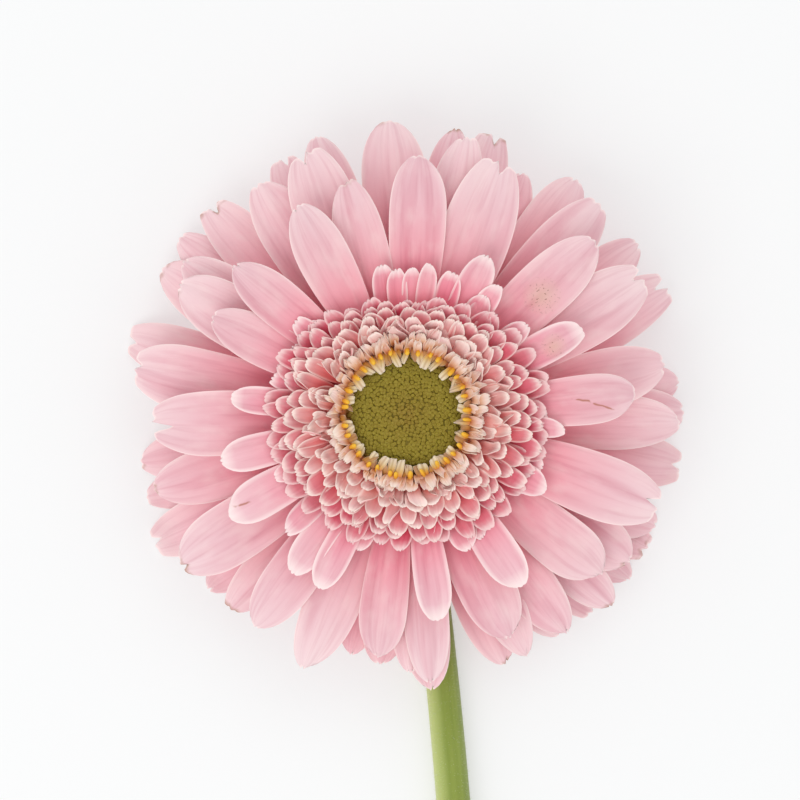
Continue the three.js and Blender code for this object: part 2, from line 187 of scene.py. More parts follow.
def smooth(value, low, high):
    share = np.clip((value - low) / (high - low), 0, 1)
    return share * share * (3 - 2 * share)


def unit(vectors):
    return vectors / np.linalg.norm(vectors, axis=-1, keepdims=True)


def nearness(bearing, centre, width):
    """1 at the centre bearing, fading to 0 on both sides of it."""
    return math.exp(-((turn_between(centre, bearing) / width) ** 2))


def dent(s, depth, centre, width):
    """A rounded cut into a petal's tip at one place across it."""
    return depth * np.exp(-(((s - centre) / width) ** 2))


def none(*_):
    return 0.0


# Sheets: thin closed petals, gathered into one mesh for each piece.

class Gathered:
    """Vertices, faces and per-vertex values of many small closed bodies that make one piece."""

    def __init__(self):
        self.points = []
        self.faces = []
        self.values = []
        self.total = 0

    def add(self, points, faces, **values):
        self.points.append(points)
        self.faces.append(faces + self.total)
        self.values.append(values)
        self.total += len(points)

    def value(self, name):
        pairs = zip(self.points, self.values)
        parts = [np.broadcast_to(values.get(name, 0.0), len(points)) for points, values in pairs]
        return np.concatenate(parts).astype(np.float32)

    def to_object(self, name, material):
        points = np.concatenate(self.points) * MM
        mesh = bpy.data.meshes.new(name)
        mesh.from_pydata(points.tolist(), [], np.concatenate(self.faces).tolist())
        for value_name in sorted({key for values in self.values for key in values}):
            layer = mesh.attributes.new(value_name, "FLOAT", "POINT")
            layer.data.foreach_set("value", self.value(value_name))
        shaped = bmesh.new()
        shaped.from_mesh(mesh)
        bmesh.ops.recalc_face_normals(shaped, faces=shaped.faces)
        shaped.to_mesh(mesh)
        shaped.free()
        mesh.shade_smooth()
        mesh.set_sharp_from_angle(angle=math.radians(100))
        mesh.materials.append(material)
        piece = bpy.data.objects.new(name, mesh)
        bpy.context.scene.collection.objects.link(piece)
        return piece


def to_ground(points, lowest=None):
    """Head coordinates to the part's own, both in millimetres. Points below the lowest height settle
    softly onto it."""
    x, y, z = points[..., 0], points[..., 1], points[..., 2]
    crown = np.maximum(z - CROWN_BASE, 0)
    moved_x = x + CROWN_LEAN[0] * crown
    turned_y = y * math.cos(HEAD_LEAN) - z * math.sin(HEAD_LEAN) + CROWN_LEAN[1] * crown
    turned_z = y * math.sin(HEAD_LEAN) + z * math.cos(HEAD_LEAN) + RIM_HEIGHT
    if lowest is not None:
        softness = 0.7
        turned_z = lowest + softness * np.logaddexp(0, (turned_z - lowest) / softness)
    return np.stack([moved_x + HEAD_X, turned_y + HEAD_Y, turned_z], axis=-1)


def quads_of(index):
    a, b, c, d = index[:-1, :-1], index[:-1, 1:], index[1:, 1:], index[1:, :-1]
    return np.stack([q.ravel() for q in (a, b, c, d)], axis=1)


def rings_to_quads(rows, sides):
    index = np.arange(rows * sides).reshape(rows, sides)
    return quads_of(np.concatenate([index, index[:, :1]], axis=1))


def close_sheet(surface, thickness):
    """Points and faces of a thin closed body round a grid of middle points."""
    along = np.gradient(surface, axis=0)
    across = np.gradient(surface, axis=1)
    normal = np.cross(across, along)
    normal /= np.linalg.norm(normal, axis=2, keepdims=True) + 1e-9
    rows, columns = surface.shape[:2]
    inside = np.zeros((rows, columns))
    inside[1:-1, 1:-1] = 1
    offset = normal * (thickness * inside / 2)[..., None]
    upper = (surface + offset).reshape(-1, 3)
    lower = (surface - offset)[1:-1, 1:-1].reshape(-1, 3)
    top = np.arange(rows * columns).reshape(rows, columns)
    under = top.copy()
    under[1:-1, 1:-1] = rows * columns + np.arange(len(lower)).reshape(rows - 2, columns - 2)
    return np.concatenate([upper, lower]), np.concatenate([quads_of(top), quads_of(under)[:, ::-1]])


def both_faces(values):
    """Per-point values of a grid, repeated for the under face's own points."""
    return np.concatenate([values.ravel(), values[1:-1, 1:-1].ravel()])


def make_grid(rows, columns, rim):
    """Places along a petal, closer together toward the tip, and across it, narrow at the rims."""
    along = np.concatenate([np.linspace(0, 1, rows) ** 0.85 * (1 - rim * 0.3), [1]])
    across = np.concatenate([[-1], np.linspace(-(1 - rim), 1 - rim, columns), [1]])
    return np.meshgrid(along, across, indexing="ij")


def lay_sheet(gathered, grid, bearing, path, half, fold, thickness, lift=none, drop=none, sway=0.0,
              rolled=0.0, twist=0.0, twist_from=0.45, lowest=None, rim_from=(0.93, 0.985), **values):
    """Adds one petal. path gives radius and height along it, half its half width, fold the half angle
    of its arched section, lift a height on top of that, drop how far each column's tip stays back, and
    sway how far its tip moves sideways. rolled turns the section evenly toward the tip, and twist turns
    it from twist_from on. rim_from tells how far across and along the petal its pale rim starts."""
    t, s = grid
    radii, heights = path
    length = np.abs(np.diff(radii)).sum() + np.abs(np.diff(heights)).sum()
    place = np.clip(t - drop(s) / length * smooth(t, 0.6, 1), 0, 1)
    steps = np.linspace(0, 1, len(radii))
    radius = np.interp(place, steps, radii)
    height = np.interp(place, steps, heights)
    out_slope = np.interp(place, steps, np.gradient(radii))
    up_slope = np.interp(place, steps, np.gradient(heights))
    size = np.hypot(out_slope, up_slope) + 1e-9
    bend = fold(t)
    bend = np.where(np.abs(bend) < 1e-3, 1e-3, bend)
    flat_x = half(t) * np.sin(s * bend) / bend
    flat_rise = half(t) * (1 - np.cos(s * bend)) / bend + lift(s, t)
    turn = rolled * t + twist * smooth(t, twist_from, 1)
    x = flat_x * np.cos(turn) - flat_rise * np.sin(turn) + sway * t * t
    rise = flat_x * np.sin(turn) + flat_rise * np.cos(turn)
    radius = radius - up_slope / size * rise
    height = height + out_slope / size * rise
    angle = math.radians(bearing)
    east = radius * math.sin(angle) + x * math.cos(angle)
    north = radius * math.cos(angle) - x * math.sin(angle)
    surface = to_ground(np.stack([east, north, height], axis=2), lowest)
    body = thickness * (0.25 + 0.75 * np.cos(s * math.pi / 2))
    points, faces = close_sheet(surface, body)
    edge = np.maximum(smooth(np.abs(s), rim_from[0], 1), smooth(t, rim_from[1], 1))
    under = np.concatenate([np.zeros(t.size), np.ones(len(points) - t.size)])
    gathered.add(
        points, faces, along=both_faces(t), across=both_faces(s), side=both_faces(s * half(t)),
        reach=both_faces(radius), rim=both_faces(edge), under=under, **values,
    )


def width_share(along, root_share, widest, end_share, fullness):
    """Width of a petal as a share of its widest, from its root past the widest place to its end."""
    growth = np.sin(np.minimum(along / widest, 1) * math.pi / 2)
    tip = np.maximum(along - widest, 0) / (1 - widest)
    return (root_share + (1 - root_share) * growth) * np.sqrt(1 - (1 - end_share ** 2) * tip ** fullness)


# Ray florets.

def droop_share(bearing):
    """Petals at the two sides droop to the surface; those over the stem and far from it less."""
    return 1 - 0.75 * nearness(bearing, 174, 28) - 0.35 * nearness(bearing, 0, 50)


def ray_height(heights, bearing, radius):
    """Height of a layer of rays: a curve through its root, shoulder and far heights."""
    root, shoulder, far = heights
    droop = droop_share(bearing)
    shoulder_step = (shoulder - root) * (droop if shoulder < root else 1)
    far_step = (far - root) * (droop if far < root else 1)
    share = (radius - RAY_ROOT) / (FAR_RADIUS - RAY_ROOT)
    bend = (SHOULDER_RADIUS - RAY_ROOT) / (FAR_RADIUS - RAY_ROOT)
    curve = (far_step * bend - shoulder_step) / (bend - bend * bend)
    return root + (far_step - curve) * share + curve * share * share


def tip_teeth(draw, width, notch):
    """How far each column of a petal's tip stays back: rounded corners, small teeth and a notch."""
    lean = draw.uniform(-0.3, 0.3)
    longer = draw.uniform(-0.5, 0.5)
    teeth = draw.uniform(0.1, 0.85, 2)
    notch_at = 0.35 * lean + (0.15 if longer > 0 else -0.15)

    def drop(s):
        corner = 0.07 * width * (s - lean) ** 2 + longer * s
        small = dent(s, teeth[0], 0.36, 0.15) + dent(s, teeth[1], -0.36, 0.15)
        deep = notch * np.clip(1 - np.abs(s - notch_at) / 0.28, 0, 1)
        return np.maximum(corner, 0) + small + deep
    return drop


def ray_floret(gathered, grid, ray, layer, order, draw):
    bearing, reach, width, notch = ray
    _, layer_heights, spread, lowest, depth = layer
    step = (1 if order % 2 == 0 else -1) * 0.45 * spread
    share = np.linspace(0, 1, 60)
    radii = RAY_ROOT + (reach - RAY_ROOT) * share
    heights = ray_height(layer_heights, bearing, radii) + step * (0.5 + 1.5 * share) - RAY_THICKNESS / 2
    rolled = draw.uniform(-0.05, 0.05)
    gutter = draw.uniform(0.05, 0.16) + 0.12 * (1 - depth)
    ridge = draw.uniform(0.08, 0.24)
    phase = draw.uniform(-0.8, 0.8)
    wave = draw.uniform(0.03, 0.22)
    wave_at = draw.uniform(0, 2 * math.pi)
    sway = draw.uniform(-0.7, 0.7)
    curl = draw.uniform(-0.7, 0.4)
    widest = draw.uniform(0.6, 0.74)
    taper = 0.15 * nearness(bearing, 145, 45)
    end = 0.5 if notch > 1.2 else draw.uniform(0.2, 0.4) - taper
    fullness = draw.uniform(2.0, 2.7)

    def half(t):
        return width / 2 * width_share(t, 0.32, widest, end, fullness)

    def fold(t):
        return gutter * np.sin(math.pi * np.minimum(t * 1.1, 1) ** 1.2) + 0.02

    def lift(s, t):
        strength = smooth(t, 0.05, 0.35) * (1 - 0.6 * smooth(t, 0.85, 1))
        ridges = ridge * np.cos(s * 2 * math.pi * 1.1 + phase) * strength
        edge = wave * np.abs(s) ** 3 * np.sin(t * 9 + wave_at + 1.5 * np.sign(s)) * strength
        return ridges + edge + curl * smooth(t, 0.72, 1) ** 2

    lay_sheet(
        gathered, grid, bearing, (radii, heights), half, fold, RAY_THICKNESS, lift,
        tip_teeth(draw, width, notch), sway, rolled, lowest=lowest + 0.35 * (order % 3),
        tone=draw.uniform(-1, 1), pick=draw.uniform(0, 1), depth=depth,
        speckled=float(bearing == SPECKLED_RAY), creased=float(bearing == CREASED_RAY),
    )


def ray_florets(material):
    draw = np.random.default_rng(SEEDS["rays"])
    gathered = Gathered()
    grid = make_grid(*RAY_GRID)
    for layer in RAY_LAYERS:
        for order, ray in enumerate(layer[0]):
            ray_floret(gathered, grid, ray, layer, order, draw)
    return gathered.to_object("ray_floret_blades", material)


# Trans florets and short inner rays.

def curved_path(start, control, end):
    """Radii and heights of a curve from start to end that bends toward control."""
    share = np.linspace(0, 1, 40)[:, None]
    start, control, end = np.array([start, control, end])
    return ((1 - share) ** 2 * start + 2 * share * (1 - share) * control + share ** 2 * end).T


def short_floret(gathered, grid, draw, bearing, reach, width, root, tip, fold_most, unruly, **values):
    arch = draw.uniform(0.4, 1.4)
    middle = (TRANS_ROOT + reach) / 2
    path = curved_path((TRANS_ROOT, root - 0.3), (middle, (root + tip) / 2 + arch), (reach, tip))
    rolled = draw.normal(0, 0.22) * unruly
    twist = draw.normal(0, 0.35) * unruly
    curl = draw.uniform(0.0, 1.4) * min(unruly, 1.1)
    tooth = draw.uniform(0.1, 0.5)
    longer = draw.uniform(-0.5, 0.5)
    sway = draw.uniform(-0.9, 0.9) * unruly
    ridge = draw.uniform(0.03, 0.08)
    end = draw.uniform(0.3, 0.55)
    ruffle = draw.uniform(0, 0.45) * unruly
    ruffle_at = draw.uniform(0, 6)

    def half(t):
        return width / 2 * width_share(t ** 1.15, 0.4, 0.7, end, 2.3)

    def fold(t):
        return fold_most * (0.45 + 0.55 * smooth(t, 0.2, 0.7)) + 0.02

    def lift(s, t):
        edge = ruffle * np.abs(s) ** 3 * np.sin(7 * t + ruffle_at + 2 * np.sign(s))
        return curl * smooth(t, 0.66, 1) + (ridge * np.cos(s * 9) + edge) * smooth(t, 0.2, 0.6)

    def drop(s):
        return np.maximum(0.08 * width * s * s + longer * s, 0) + dent(np.abs(s), tooth, 0.36, 0.13)

    lay_sheet(
        gathered, grid, bearing, path, half, fold, SHORT_THICKNESS, lift, drop, sway, rolled, twist,
        rim_from=(0.72, 0.87), tone=draw.uniform(-1, 1), **values,
    )


def ring_share(bearing):
    """How far the short florets spread: least on the far side of the head, where they stand steeper."""
    return 1 - 0.4 * nearness(bearing, 0, 50) - 0.14 * nearness(bearing, 180, 50)


def paleness(bearing, reach):
    """The inner short florets are painted nearly white, partly their own cream colour and partly painted
    light, and are more ruffled on the far side and over the stem.
    """
    inner = float(smooth(reach, 25.5, 20.0))
    return inner * max(nearness(bearing, 12, 36), 0.8 * nearness(bearing, 172, 30))


def trans_florets(material):
    draw = np.random.default_rng(SEEDS["trans"])
    gathered = Gathered()
    grid = make_grid(*TRANS_GRID)
    for row, (count, reach, width, root, tip, fold, unruly) in enumerate(TRANS_ROWS):
        for i in range(count):
            bearing = (i + 0.5 * (row % 2) + draw.uniform(-0.3, 0.3)) * 360 / count
            spread = ring_share(bearing)
            steeper = 0.3 * (reach - RING_INNER) * (1 - spread)
            pale = paleness(bearing, reach) * draw.uniform(0.3, 1.0)
            short_floret(
                gathered, grid, draw, bearing,
                RING_INNER + (reach + draw.uniform(-1.1, 0.9) - RING_INNER) * spread,
                width * draw.uniform(0.8, 1.12), root, tip + steeper + draw.uniform(-0.5, 0.3) * unruly,
                fold * draw.uniform(0.6, 1.3) * (1 - 0.4 * pale), unruly * (1 + 0.4 * pale), ring=reach,
                pale=pale,
            )
    return gathered.to_object("trans_floret_blades", material)


def inner_rays(material):
    draw = np.random.default_rng(SEEDS["inner rays"])
    gathered = Gathered()
    grid = make_grid(*INNER_RAY_GRID)
    for bearing, reach, width in INNER_RAYS:
        short_floret(
            gathered, grid, draw, bearing, reach, width * 1.05, 6.0, 6.6 - 0.04 * (reach - 28),
            draw.uniform(0.3, 0.6), 0.35, speckled=float(bearing == SPECKLED_INNER_RAY),
            creased=float(bearing == CREASED_INNER_RAY),
        )
    return gathered.to_object("inner_ray_blades", material)


# Disc florets: a pleated inner strap over the disc, a golden anther column and a pale outer lip.

def inner_strap(gathered, grid, draw, bearing, back):
    """A strap that arches from the ring in over the disc. Those at the back are shorter and lower, and their
    colour takes painted shade.
    """
    reach = draw.uniform(9.4, 10.8) - 0.5 * math.cos(math.radians(bearing)) ** 2 + 0.9 * back
    tip = draw.uniform(11.5, 12.4) - 0.3 * back
    path = curved_path((13.2, 11.4), (12.2, draw.uniform(12.8, 13.5) - 0.5 * back), (reach, tip))
    width = draw.uniform(1.4, 2.0)
    base = draw.uniform(0.6, 0.85)
    pleat = draw.uniform(0.06, 0.12)
    sway = draw.uniform(-1.2, 1.2)
    rolled = draw.normal(0, 0.5)
    teeth = draw.uniform(0.03, 0.3, 2)

    def half(t):
        return width / 2 * (base + (1 - base) * smooth(t, 0.1, 0.8)) * (1 - 0.12 * smooth(t, 0.9, 1))

    def drop(s):
        return dent(s, teeth[0], 0.33, 0.14) + dent(s, teeth[1], -0.33, 0.14) + 0.3 * s ** 4

    lay_sheet(
        gathered, grid, bearing, path, half, lambda t: 0.4 - 0.75 * smooth(t, 0.5, 1), STRAP_THICKNESS,
        lambda s, t: pleat * np.cos(s * 8), drop, sway, rolled, tone=draw.uniform(-1, 1), ring=0.0,
        back=back,
    )


def outer_lip(gathered, grid, draw, bearing, row):
    root = 12.3 + 1.1 * row + draw.uniform(-0.4, 0.4)
    reach = root + draw.uniform(1.8, 3.3)
    tip = draw.uniform(11.9, 12.8) - 0.5 * row
    path = curved_path((root, 11.1), (root + 0.3, 13.2 - 0.3 * row), (reach, tip))
    width = draw.uniform(1.5, 2.7)
    rolled = draw.normal(0, 0.45)
    twist = draw.normal(0, 0.6)
    curl = draw.uniform(-0.8, 0.5)
    fold_most = draw.uniform(0.4, 1.4)
    tooth = draw.uniform(0.1, 0.35)
    sway = draw.uniform(-1.0, 1.0)

    def half(t):
        return width / 2 * width_share(t ** 1.1, 0.42, 0.7, 0.62, 2.4)

    def drop(s):
        return 0.3 * s * s + dent(np.abs(s), tooth, 0.35, 0.14)

    lay_sheet(
        gathered, grid, bearing, path, half, lambda t: fold_most, LIP_THICKNESS,
        lambda s, t: curl * smooth(t, 0.5, 1) + 0.06 * np.cos(s * 9), drop, sway, rolled, twist,
        twist_from=0.4, tone=draw.uniform(-1, 1), ring=1.0,
    )


def round_body(base, axis, radius, length, sides, profile, spin=0.0, flute=0.0):
    """Points and quads of a round body along an axis. profile lists [share of length, of radius], and
    flute is how far five grooves cut into it."""
    axis = unit(axis)
    helper = np.array([0.0, 0.0, 1.0]) if abs(axis[2]) < 0.9 else np.array([1.0, 0.0, 0.0])
    u = unit(np.cross(axis, helper))
    v = np.cross(axis, u)
    angle = (spin + np.linspace(0, 2 * math.pi, sides, endpoint=False))[:, None]
    ring = (np.cos(angle) * u + np.sin(angle) * v) * (1 + flute * np.cos(5 * angle))
    t, size = np.array(profile).T
    points = base + (t * length)[:, None, None] * axis + ring * (radius * size)[:, None, None]
    return points.reshape(-1, 3), rings_to_quads(len(t), sides)


KNOB = [(0, 0.02), (0, 0.7), (0.2, 0.9), (0.5, 1), (0.75, 0.96), (0.88, 0.75), (0.97, 0.4), (1, 0.02)]


def anther_column(gathered, draw, bearing):
    angle = math.radians(bearing + draw.uniform(-1.5, 1.5))
    outward = np.array([math.sin(angle), math.cos(angle), 0.0])
    aside = np.array([math.cos(angle), -math.sin(angle), 0.0]) * draw.uniform(-0.35, 0.35)
    base = outward * draw.uniform(12.7, 13.3) + np.array([0, 0, 11.85])
    axis = np.array([0, 0, 1.0]) - outward * draw.uniform(1.0, 1.9) + aside
    length = draw.uniform(1.7, 2.4)
    spin = draw.uniform(0, 1)
    points, faces = round_body(base, axis, draw.uniform(0.36, 0.46), length, 20, KNOB, spin, 0.14)
    share = (points - base) @ unit(axis) / length
    gathered.add(to_ground(points), faces, along=share, tone=draw.uniform(-1, 1))


def disc_florets(lip_look, anther_look):
    draw = np.random.default_rng(SEEDS["disc florets"])
    lips = Gathered()
    anthers = Gathered()
    grid = make_grid(*LIP_GRID)
    for i in range(DISC_FLORETS):
        bearing = (i + draw.uniform(-0.22, 0.22)) * 360 / DISC_FLORETS
        for row, (least, most) in enumerate([(-3, 1), (3, 8)] * 2):
            outer_lip(lips, grid, draw, bearing + draw.uniform(least, most), row / 3)
        half_step = 180 / DISC_FLORETS
        inner_strap(lips, grid, draw, bearing + half_step * draw.uniform(0.8, 1.2), 1.0)
        if draw.uniform() < 0.93:
            inner_strap(lips, grid, draw, bearing, 0.0)
        anther_column(anthers, draw, bearing)
    return lips.to_object("disc_floret_lips", lip_look), anthers.to_object("anthers", anther_look)


# The disc of unopened buds.

def disc_height(radius):
    return DISC_CROWN_HEIGHT - (DISC_CROWN_HEIGHT - DISC_RIM_HEIGHT) * (radius / DISC_RADIUS) ** 2


BUD = [(0, 0.9), (0.7, 1), (0.88, 1), (0.95, 0.9), (0.99, 0.66), (1, 0.34), (0.98, 0.02)]


def disc_buds(material):
    draw = np.random.default_rng(SEEDS["buds"])
    gathered = Gathered()
    for i in range(BUDS):
        share = math.sqrt((i + 0.5) / BUDS)
        radius = BUD_REACH * share
        angle = i * GOLDEN_ANGLE
        centre = np.array([radius * math.cos(angle), radius * math.sin(angle), 0.0])
        centre[:2] += draw.uniform(-0.13, 0.13, 2)
        size = draw.uniform(0.48, 0.6) * (0.86 + 0.16 * share)
        centre[2] = disc_height(radius) + draw.uniform(0.42, 0.6) - BUD_LENGTH
        axis = np.array([centre[0] * 0.012, centre[1] * 0.012, 1.0])
        axis[:2] += draw.uniform(-0.16, 0.16, 2)
        points, faces = round_body(centre, axis, size, BUD_LENGTH, 6, BUD, draw.uniform(0, 2))
        height = (points[:, 2] - centre[2]) / BUD_LENGTH
        gathered.add(to_ground(points), faces, along=height, reach=radius, tone=draw.uniform(-1, 1))
    return gathered.to_object("disc_bud_tips", material)


# The receptacle inside the head and the cup of bracts under it.

def turned(gathered, outline, sides):
    """A closed round body about the head's axis. outline lists [radius, height] from foot to top."""
    profile = [(height, radius) for radius, height in outline]
    points, faces = round_body(np.zeros(3), np.array([0, 0, 1.0]), 1, 1, sides, profile)
    radius = np.hypot(points[:, 0], points[:, 1])
    gathered.add(to_ground(points), faces, height=points[:, 2], reach=radius)


def receptacle(material):
    gathered = Gathered()
    side = [(0.05, -1.0), (12.4, -1.0), (12.9, 2.0), (13.5, 5.5), (14.0, 8.4), (13.7, 10.2), (12.9, 11.2)]
    dome = [(radius, disc_height(radius) + 0.24) for radius in (11.9, 11.2, 9, 6, 3, 0.05)]
    turned(gathered, side + dome, 64)
    return gathered.to_object("receptacle", material)


def cup_outline(share):
    """Radius and height of the cup, from its foot at 0 to its rim at 1."""
    angle = share * math.pi / 2
    radius = CUP_FOOT_RADIUS + (CUP_RADIUS - CUP_FOOT_RADIUS) * math.sin(angle)
    return radius, -CUP_DEPTH * max(math.cos(angle), 0) ** 1.15


def involucre(material):
    draw = np.random.default_rng(SEEDS["bracts"])
    gathered = Gathered()
    outline = [(0.05, CUP_BOTTOM), (3.0, -CUP_DEPTH - 0.2)]
    outline += [cup_outline(share) for share in np.linspace(0, 1, 14)]
    turned(gathered, outline + [(12.6, 0.6), (0.05, 0.6)], 56)
    grid = make_grid(*BRACT_GRID)
    steps = 30
    for row, (count, first, last, row_width) in enumerate(BRACT_ROWS):
        for i in range(count):
            span = np.linspace(first, last + draw.uniform(-0.04, 0.03), steps)
            radii, heights = np.array([cup_outline(share) for share in span]).T
            out = 0.35 + 0.25 * row + np.linspace(0, 1, steps) ** 3 * draw.uniform(-0.1, 0.5)
            width = row_width * draw.uniform(0.9, 1.1)
            bearing = (i + 0.5 * (row % 2) + draw.uniform(-0.1, 0.1)) * 360 / count
            lay_sheet(
                gathered, grid, bearing, (radii + out, heights - 0.2),
                lambda t: width / 2 * (0.85 + 0.3 * t) * (1 - 0.9 * t ** 2.2), lambda t: 0.5,
                BRACT_THICKNESS, tone=draw.uniform(-1, 1),
            )
    return gathered.to_object("bracts", material)


# The stem.

def stem_radius(distance):
    along = np.clip(distance / STEM_LENGTH, 0, 1)
    return NECK_RADIUS + 0.7 * (1 - np.exp(-np.maximum(distance, 0) / 40)) + 0.35 * along


def stem_path():
    """Middle line of the stem from inside the cup to the cut end, and distances along the part that
    lies on the surface."""
    foot = to_ground(np.array([0.0, 0.0, CUP_BOTTOM]))
    bend_turn = math.radians(90) + HEAD_LEAN
    heading = unit(np.array([-STEM_SWAY / SWAY_LENGTH, 1.0, 0.0]))
    bend_start = foot - heading * NECK_BEND * math.sin(bend_turn)
    level = NECK_RADIUS * FLAT_SHARE
    head_up = np.array([0, -math.sin(HEAD_LEAN), math.cos(HEAD_LEAN)])
    points = [foot + head_up * 2]
    for turn in np.linspace(bend_turn, 0, 14, endpoint=False):
        rise = (foot[2] - level) / (1 - math.cos(bend_turn)) * (1 - math.cos(turn))
        flat = bend_start + heading * NECK_BEND * math.sin(turn)
        points.append(np.array([flat[0], flat[1], level + rise]))
    distances = [0.0] * len(points)
    for distance in np.linspace(0, STEM_LENGTH, 90):
        x = bend_start[0] + STEM_SWAY * (1 - math.exp(-distance / SWAY_LENGTH))
        points.append(np.array([x, bend_start[1] - distance, stem_radius(distance) * FLAT_SHARE]))
        distances.append(distance)
    return np.array(points), np.array(distances)


def section_axes(points):
    """Two directions square to the middle line at each of its points, sideways and upward. The upright
    that they start from leans a little past the head's axis, so that sideways never flips over."""
    ahead = unit(np.gradient(points, axis=0))
    sideways = np.cross(ahead, np.array([0.0, -math.sin(0.1), 1.0])) + np.array([-1e-4, 0, 0])
    sideways[:, 2] = 0
    sideways = unit(sideways)
    return sideways, np.cross(sideways, ahead)


def stem(material, points, distances):
    angle = np.linspace(0, 2 * math.pi, STEM_SIDES, endpoint=False)
    across = np.cos(angle)
    around = np.sin(angle)
    sideways, upward = section_axes(points)
    normal = across[None, :, None] * sideways[:, None] + around[None, :, None] * upward[:, None]
    distance = distances[:, None]
    radius = stem_radius(distance)
    ribs = 1 + 0.004 * np.sin(angle * 9) + 0.008 * np.sin(distance / 17 + 3 * around)
    skin = points[:, None] + normal * (radius * ribs)[..., None]
    beside = skin[..., 0] - points[:, None, 0]
    skin[..., 1] += CUT_SLANT * (beside + radius) * smooth(distance, STEM_LENGTH - CUT_LENGTH, STEM_LENGTH)
    end = skin[-1]
    centre = end.mean(axis=0)
    hollow = np.array([0, 0.25, 0])
    face = [centre + (end - centre) * share + hollow * (share < 0.9) for share, _ in CUT_FACE]
    start = points[0] + (skin[0] - points[0]) * 0.02
    skin = np.concatenate([start[None], skin, np.array(face)])
    skin[..., 2] = np.maximum(skin[..., 2], LEAST_HEIGHT)
    rows = len(skin)
    flesh = np.concatenate([np.zeros(rows - len(face)), [pale for _, pale in CUT_FACE]])
    away = np.concatenate([[0.0], distances, np.full(len(face), STEM_LENGTH)])
    gathered = Gathered()
    gathered.add(
        skin.reshape(-1, 3), rings_to_quads(rows, STEM_SIDES), flesh=np.repeat(flesh, STEM_SIDES),
        distance=np.repeat(away, STEM_SIDES), around=np.tile(around, rows), across=np.tile(across, rows),
    )
    return gathered.to_object("stalk", material)


def stem_hairs(material, points, distances):
    """Fine short hairs all round the stem, each a narrow three-sided spike."""
    draw = np.random.default_rng(SEEDS["hairs"])
    first_row = 12
    where = draw.uniform(first_row, len(points) - 2, HAIRS)
    row = where.astype(int)
    middle = points[row] + (points[row + 1] - points[row]) * (where - row)[:, None]
    sideways, upward = section_axes(points)
    angle = draw.uniform(0, 2 * math.pi, HAIRS)[:, None]
    normal = np.cos(angle) * sideways[row] + np.sin(angle) * upward[row]
    radius = stem_radius(np.interp(where, np.arange(len(distances)), distances))[:, None]
    base = middle + normal * radius * 0.97
    direction = unit(normal + draw.normal(0, 0.35, (HAIRS, 3)))
    tip = base + direction * draw.uniform(0.3, 0.85, (HAIRS, 1))
    first = unit(np.cross(direction, sideways[row] + upward[row] * 0.3))
    second = np.cross(direction, first)
    aside = [math.cos(turn) * first + math.sin(turn) * second for turn in (0, 2.1, 4.2)]
    spikes = np.stack([base + way * HAIR_RADIUS for way in aside] + [tip], axis=1)[tip[:, 2] > 0.05]
    spikes[..., 2] = np.maximum(spikes[..., 2], LEAST_HEIGHT)
    start = np.arange(len(spikes))[:, None] * 4
    faces = np.concatenate([start + np.array(face) for face in ((0, 1, 3), (1, 2, 3), (2, 0, 3), (2, 1, 0))])
    gathered = Gathered()
    gathered.add(spikes.reshape(-1, 3), faces, tone=np.repeat(draw.uniform(-1, 1, len(spikes)), 4))
    return gathered.to_object("stem_hairs", material)


# Materials.

GLOSS = 0.25
PETAL_FINISH = {"roughness": 0.55, "sheen": 0.1}
LEAF_SCATTER = (0.6, 0.9, 0.2)


